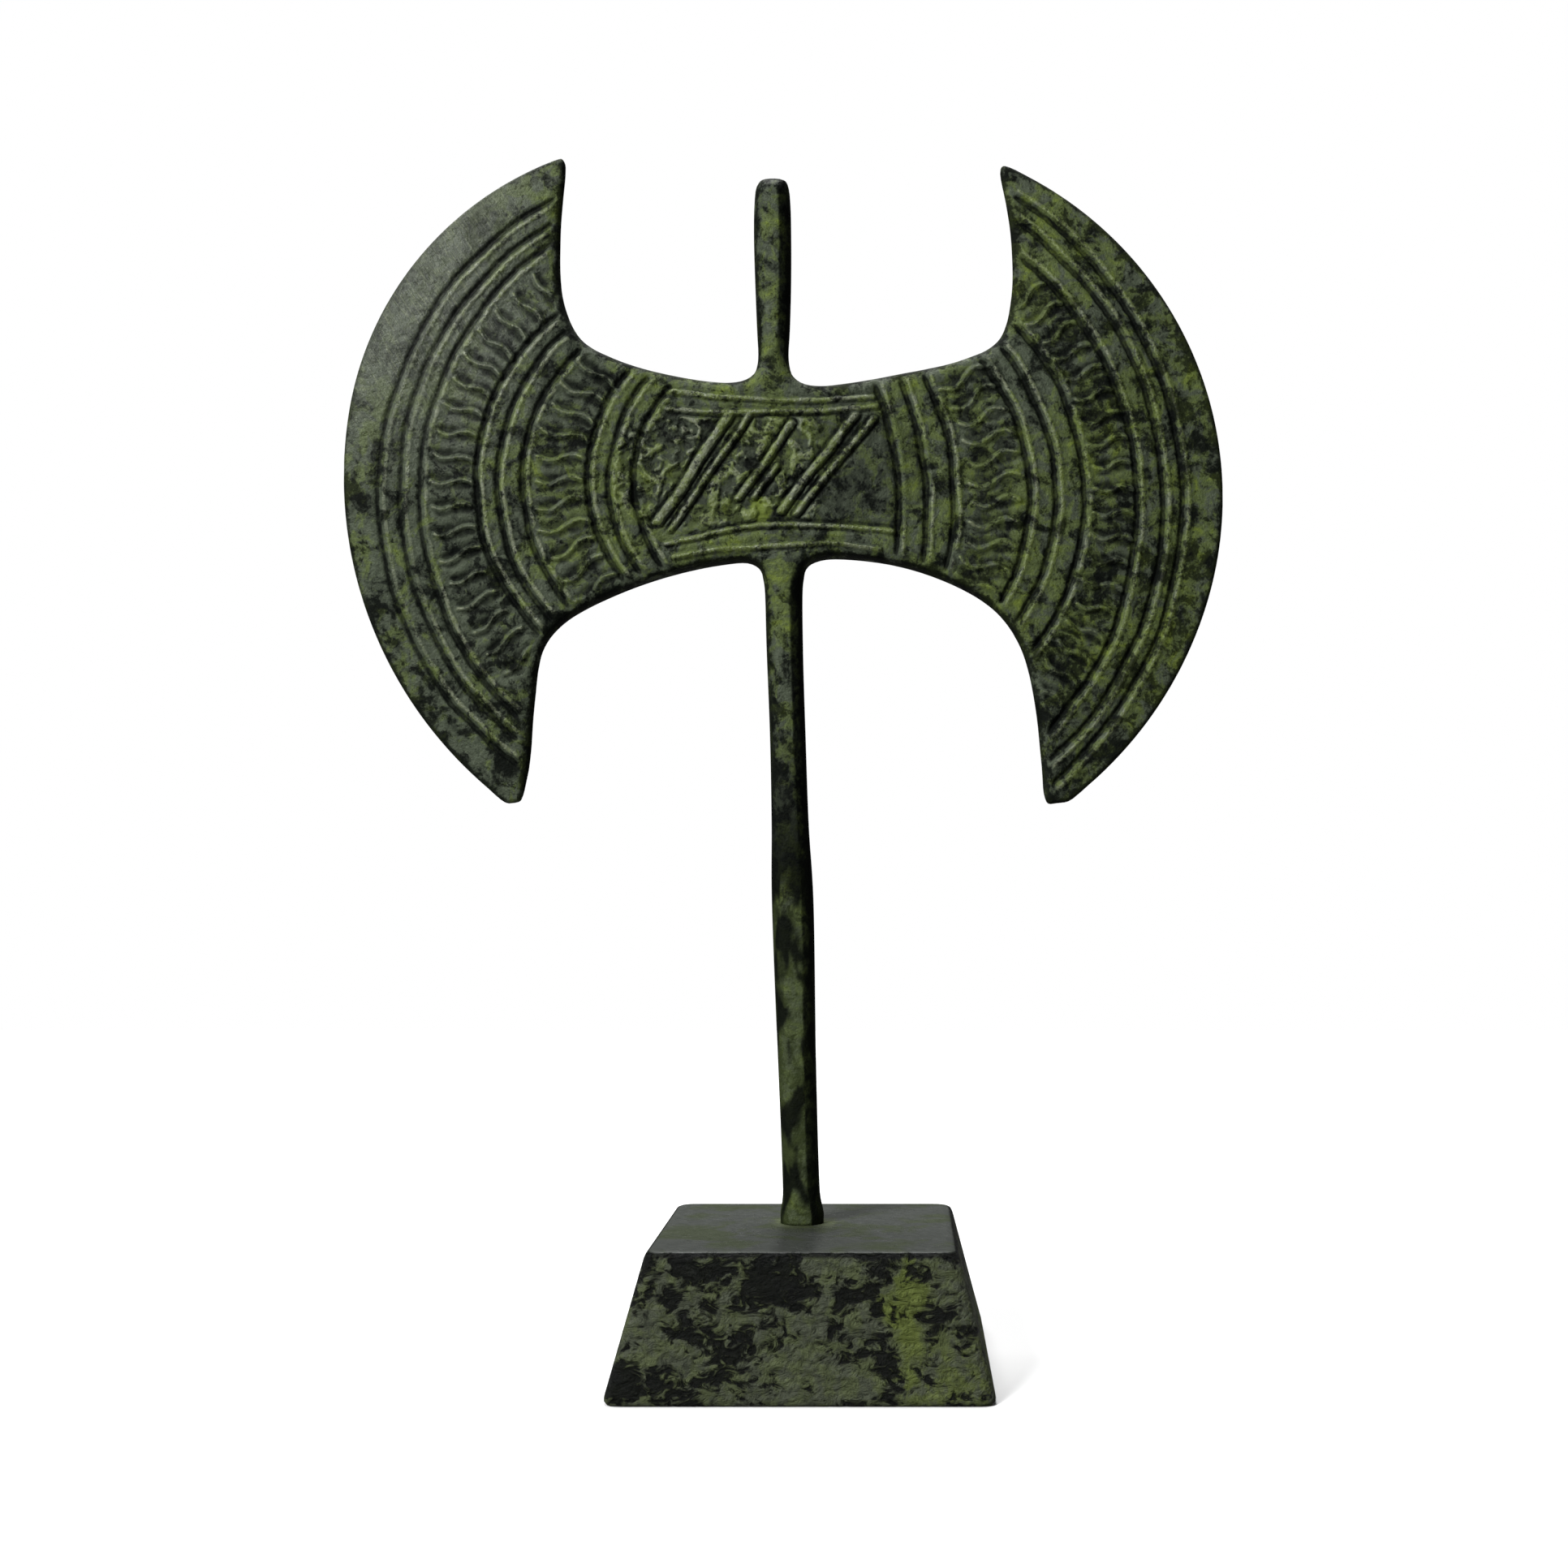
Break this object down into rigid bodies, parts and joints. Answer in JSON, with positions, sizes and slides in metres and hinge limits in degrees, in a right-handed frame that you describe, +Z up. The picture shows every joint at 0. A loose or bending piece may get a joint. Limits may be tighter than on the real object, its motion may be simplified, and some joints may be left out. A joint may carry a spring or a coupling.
{
  "type": "souvenir double axe on stand",
  "caption": "Small cast souvenir double axe with carved crescent wings, standing upright on a slim haft and a tapered square base.",
  "frame": {"origin": "centre of the base's underside", "axes": "+Z up along the haft; the carved front faces -Y; X runs along the blade from one cutting edge to the other"},
  "size_m": [0.1475, 0.0588, 0.2],
  "materials": {
    "patinated_bronze": "near-black green cast bronze, olive patina, yellow-green where the raised lines are rubbed",
    "base_bronze": "cast bronze with an olive patina marbled in black"
  },
  "bodies": {
    "root": {"double_axe": "patinated_bronze", "base": "base_bronze"}
  },
  "joints": []
}
